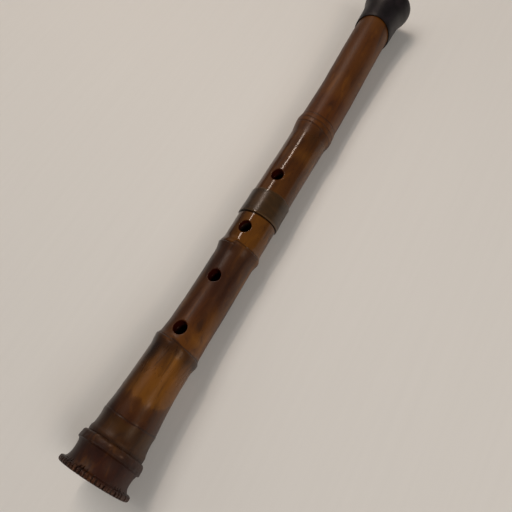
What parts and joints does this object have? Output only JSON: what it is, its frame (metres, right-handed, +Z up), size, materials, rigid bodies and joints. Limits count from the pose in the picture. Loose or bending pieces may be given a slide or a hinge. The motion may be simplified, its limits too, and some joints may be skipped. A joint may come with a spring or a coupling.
{
  "type": "shakuhachi",
  "caption": "End-blown bamboo flute in two joined sections with a flared root end, finger holes, a thumb hole and a push-on mouth cap.",
  "frame": {"origin": "on the surface that the flute lies on, under the middle of its length and width", "axes": "+X along the flute from the root end to the mouth end, +Z up through the finger holes, +Y to the left as seen from the root end"},
  "size_m": [0.5504, 0.0608, 0.0608],
  "materials": {
    "cane": "gloss lacquer over marbled brown bamboo",
    "bore_lacquer": "gloss dark red lacquer",
    "tenon": "satin lacquer",
    "seal": "matt",
    "sleeve": "satin",
    "band": "gloss, horn-like brown",
    "inlay": "polished dark horn",
    "cap": "satin black"
  },
  "bodies": {
    "lower": {"lower_section": "cane", "lower_bore_lining": "bore_lacquer", "joint_tenon": "tenon"},
    "seals": {"tenon_seal_ring_1": "seal", "tenon_seal_ring_2": "seal"},
    "upper": {"upper_section": "cane", "upper_bore_lining": "bore_lacquer", "joint_socket_sleeve": "sleeve", "joint_band": "band", "mouthpiece_inlay": "inlay"},
    "cap": {"mouth_cap": "cap"}
  },
  "joints": [
    {"name": "joint_twist", "type": "hinge", "parent": "lower", "child": "seals", "pos_m": [-0.02615, 0, 0.02198], "axis": [1, 0, 0], "continuous": true},
    {"name": "joint_pull", "type": "slide", "parent": "seals", "child": "upper", "axis": [1, 0, 0], "range_m": [0, 0.06]},
    {"name": "cap_pull", "type": "slide", "parent": "upper", "child": "cap", "axis": [1, 0, 0], "range_m": [0, 0.07]}
  ]
}
